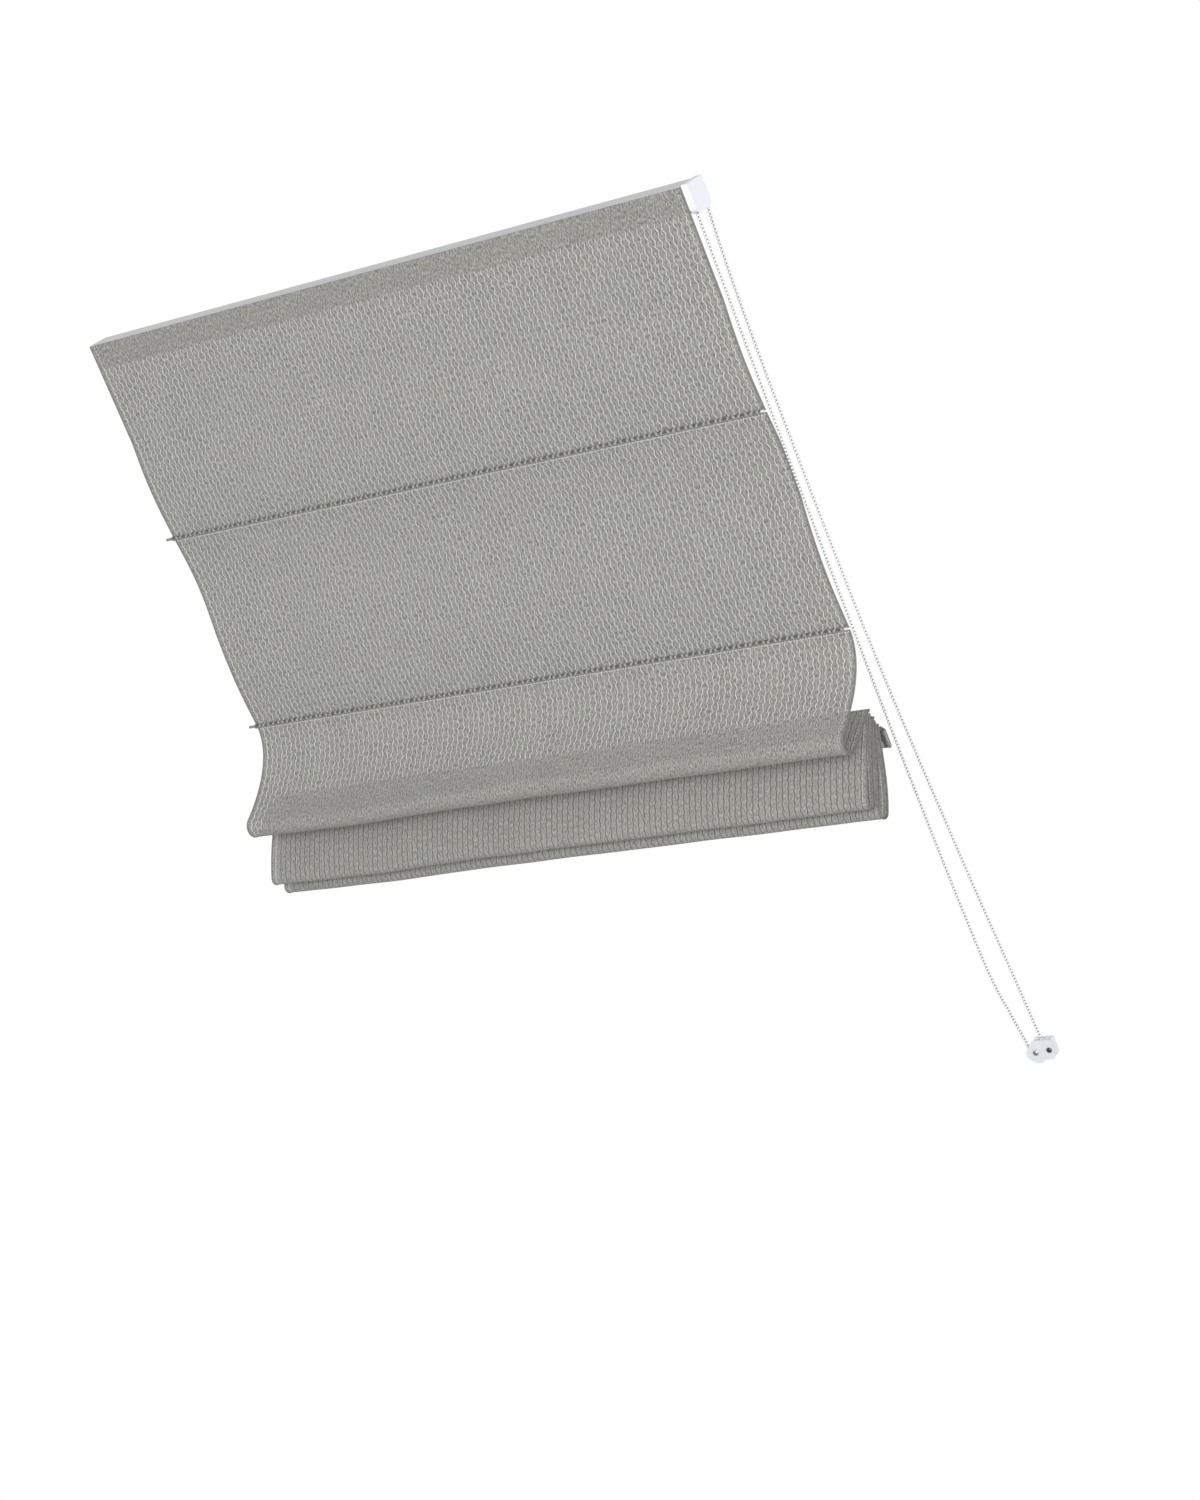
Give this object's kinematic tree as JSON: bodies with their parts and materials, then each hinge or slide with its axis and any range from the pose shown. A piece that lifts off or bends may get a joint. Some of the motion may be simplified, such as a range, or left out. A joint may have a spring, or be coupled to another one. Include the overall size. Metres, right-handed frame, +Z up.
{
  "type": "skylight window blind",
  "caption": "Folding blind of half-transparent net for a sloping window, half raised, with a headrail, stiffening rods and a bead chain with a tensioner.",
  "frame": {"origin": "middle of the headrail's back face, on the sloping surface the blind is mounted on", "axes": "+X along the headrail towards the chain, +Z up, -Y out towards the room; the surface slopes 55 degrees from the horizontal, up towards -Y, so the blind runs down along +Y and -Z"},
  "size_m": [1.1346, 0.7671, 1.0589],
  "materials": {
    "knit": "open warp-knitted net, warm grey, half transparent, matt",
    "white_plastic": "satin, slightly bluish white",
    "white_rod": "smooth white",
    "anodised": "satin anodised, light grey",
    "steel": "bright",
    "clear_plastic": "clear, slightly bluish",
    "tape": "touch tape, off-white",
    "cord": "thin braided cord, off-white"
  },
  "bodies": {
    "headrail": {"headrail": "anodised", "rail_screw_1": "steel", "rail_screw_2": "steel", "rail_screw_3": "steel", "rail_screw_4": "steel", "hook_tape": "tape", "loop_tape": "tape", "end_cap_left": "white_plastic", "shaft_bush": "white_plastic", "drive_housing": "white_plastic", "drive_cover": "white_plastic", "brake_hub": "white_plastic", "brake_spring": "steel", "tensioner_base": "clear_plastic", "tensioner_cover": "clear_plastic", "tensioner_axle": "steel", "tensioner_screw": "steel", "ball_chain": "clear_plastic", "drum_cradle_left": "white_plastic", "drum_cradle_middle": "white_plastic", "drum_cradle_right": "white_plastic", "cord_top_left": "cord", "cord_top_middle": "cord", "cord_top_right": "cord"},
    "drive_shaft": {"drive_shaft": "steel", "chain_sprocket": "white_plastic", "cord_drum_left": "white_plastic", "cord_drum_middle": "white_plastic", "cord_drum_right": "white_plastic"},
    "tensioner_pulley": {"tensioner_pulley": "white_plastic"},
    "panel_1_upper": {"panel_1_upper": "knit"},
    "panel_1_lower": {"panel_1_lower": "knit"},
    "rod_1": {"rod_1": "white_rod", "cord_upper_left": "cord", "cord_upper_middle": "cord", "cord_upper_right": "cord"},
    "panel_2_upper": {"panel_2_upper": "knit"},
    "panel_2_lower": {"panel_2_lower": "knit"},
    "rod_2": {"rod_2": "white_rod", "cord_lower_left": "cord", "cord_lower_middle": "cord", "cord_lower_right": "cord"},
    "fold_1_front": {"fold_1_front": "knit"},
    "fold_1_rear": {"fold_1_rear": "knit"},
    "rod_3": {"rod_3": "white_rod", "cord_stack_left": "cord", "cord_stack_middle": "cord", "cord_stack_right": "cord"},
    "fold_2_front": {"fold_2_front": "knit"},
    "fold_2_rear": {"fold_2_rear": "knit"},
    "rod_4": {"rod_4": "white_rod"},
    "fold_3_front": {"fold_3_front": "knit"},
    "fold_3_rear": {"fold_3_rear": "knit"},
    "rod_5": {"rod_5": "white_rod", "hem": "knit", "bottom_bar": "anodised", "cord_stop_left": "white_plastic", "cord_stop_middle": "white_plastic", "cord_stop_right": "white_plastic"}
  },
  "joints": [
    {"name": "rod_1_slide", "type": "slide", "parent": "headrail", "child": "rod_1", "axis": [0, 0.5736, -0.8192], "range_m": [-0.253, 0], "deforming": ["cord_top_left", "cord_top_middle", "cord_top_right"]},
    {"name": "panel_1_upper_slide", "type": "slide", "parent": "headrail", "child": "panel_1_upper", "axis": [0, 0.9652, 0.2615], "range_m": [-0.12235, 0], "deforming": ["panel_1_upper"]},
    {"name": "panel_1_lower_slide", "type": "slide", "parent": "rod_1", "child": "panel_1_lower", "axis": [0, -0.1127, 0.9936], "range_m": [-0.24085, 0], "deforming": ["panel_1_lower"]},
    {"name": "rod_2_slide", "type": "slide", "parent": "rod_1", "child": "rod_2", "axis": [0, 0.5736, -0.8192], "range_m": [-0.296, 0], "deforming": ["cord_upper_left", "cord_upper_middle", "cord_upper_right"]},
    {"name": "panel_2_upper_slide", "type": "slide", "parent": "rod_1", "child": "panel_2_upper", "axis": [0, 0.9784, 0.2066], "range_m": [-0.1251, 0], "deforming": ["panel_2_upper"]},
    {"name": "panel_2_lower_slide", "type": "slide", "parent": "rod_2", "child": "panel_2_lower", "axis": [0, -0.1743, 0.9847], "range_m": [-0.27257, 0], "deforming": ["panel_2_lower"]},
    {"name": "rod_3_slide", "type": "slide", "parent": "rod_2", "child": "rod_3", "axis": [0, 0.677, -0.736], "range_m": [-0.0989, 0.1412], "deforming": ["cord_lower_left", "cord_lower_middle", "cord_lower_right"]},
    {"name": "fold_1_front_slide", "type": "slide", "parent": "rod_2", "child": "fold_1_front", "axis": [0, 0.9995, -0.0326], "range_m": [-0.02482, 0.0354], "deforming": ["fold_1_front"]},
    {"name": "fold_1_rear_slide", "type": "slide", "parent": "rod_3", "child": "fold_1_rear", "axis": [0, -0.5061, 0.8625], "range_m": [-0.08356, 0.11926], "deforming": ["fold_1_rear"]},
    {"name": "rod_4_slide", "type": "slide", "parent": "rod_3", "child": "rod_4", "axis": [0, 0.5603, -0.8283], "range_m": [0, 0.236], "deforming": ["cord_stack_left", "cord_stack_middle", "cord_stack_right"]},
    {"name": "fold_2_front_slide", "type": "slide", "parent": "rod_3", "child": "fold_2_front", "axis": [0, 0.9472, 0.3207], "range_m": [0, 0.07741], "deforming": ["fold_2_front"]},
    {"name": "fold_2_rear_slide", "type": "slide", "parent": "rod_4", "child": "fold_2_rear", "axis": [0, -0.2588, 0.9659], "range_m": [0, 0.22815], "deforming": ["fold_2_rear"]},
    {"name": "rod_5_slide", "type": "slide", "parent": "rod_4", "child": "rod_5", "axis": [0, 0.5606, -0.8281], "range_m": [0, 0.242]},
    {"name": "fold_3_front_slide", "type": "slide", "parent": "rod_4", "child": "fold_3_front", "axis": [0, 0.9169, 0.399], "range_m": [0, 0.06295], "deforming": ["fold_3_front"]},
    {"name": "fold_3_rear_slide", "type": "slide", "parent": "rod_5", "child": "fold_3_rear", "axis": [0, -0.3271, 0.945], "range_m": [0, 0.23869], "deforming": ["fold_3_rear"]},
    {"name": "shaft_turn", "type": "hinge", "parent": "headrail", "child": "drive_shaft", "pos_m": [0, -0.0147, -0.0103], "axis": [1, 0, 0], "range_deg": [-556.5, 794.2]},
    {"name": "pulley_turn", "type": "hinge", "parent": "headrail", "child": "tensioner_pulley", "pos_m": [0.5556, 0.71058, -1.02597], "axis": [0, -0.8192, -0.5736], "range_deg": [-600.6, 857.1]}
  ],
  "couplings": [
    {"joint": "panel_1_upper_slide", "follows": "rod_1_slide", "ratio": 0.4832},
    {"joint": "panel_1_lower_slide", "follows": "rod_1_slide", "ratio": 0.9516},
    {"joint": "panel_2_upper_slide", "follows": "rod_2_slide", "ratio": 0.4223},
    {"joint": "panel_2_lower_slide", "follows": "rod_2_slide", "ratio": 0.9205},
    {"joint": "fold_1_front_slide", "follows": "rod_3_slide", "ratio": 0.25},
    {"joint": "fold_1_rear_slide", "follows": "rod_3_slide", "ratio": 0.8439},
    {"joint": "fold_2_front_slide", "follows": "rod_4_slide", "ratio": 0.3276},
    {"joint": "fold_2_rear_slide", "follows": "rod_4_slide", "ratio": 0.9663},
    {"joint": "fold_3_front_slide", "follows": "rod_5_slide", "ratio": 0.2597},
    {"joint": "fold_3_rear_slide", "follows": "rod_5_slide", "ratio": 0.9859},
    {"joint": "shaft_turn", "follows": "rod_3_slide", "rad_per_m": 98.039},
    {"joint": "pulley_turn", "follows": "rod_3_slide", "rad_per_m": 105.82}
  ]
}
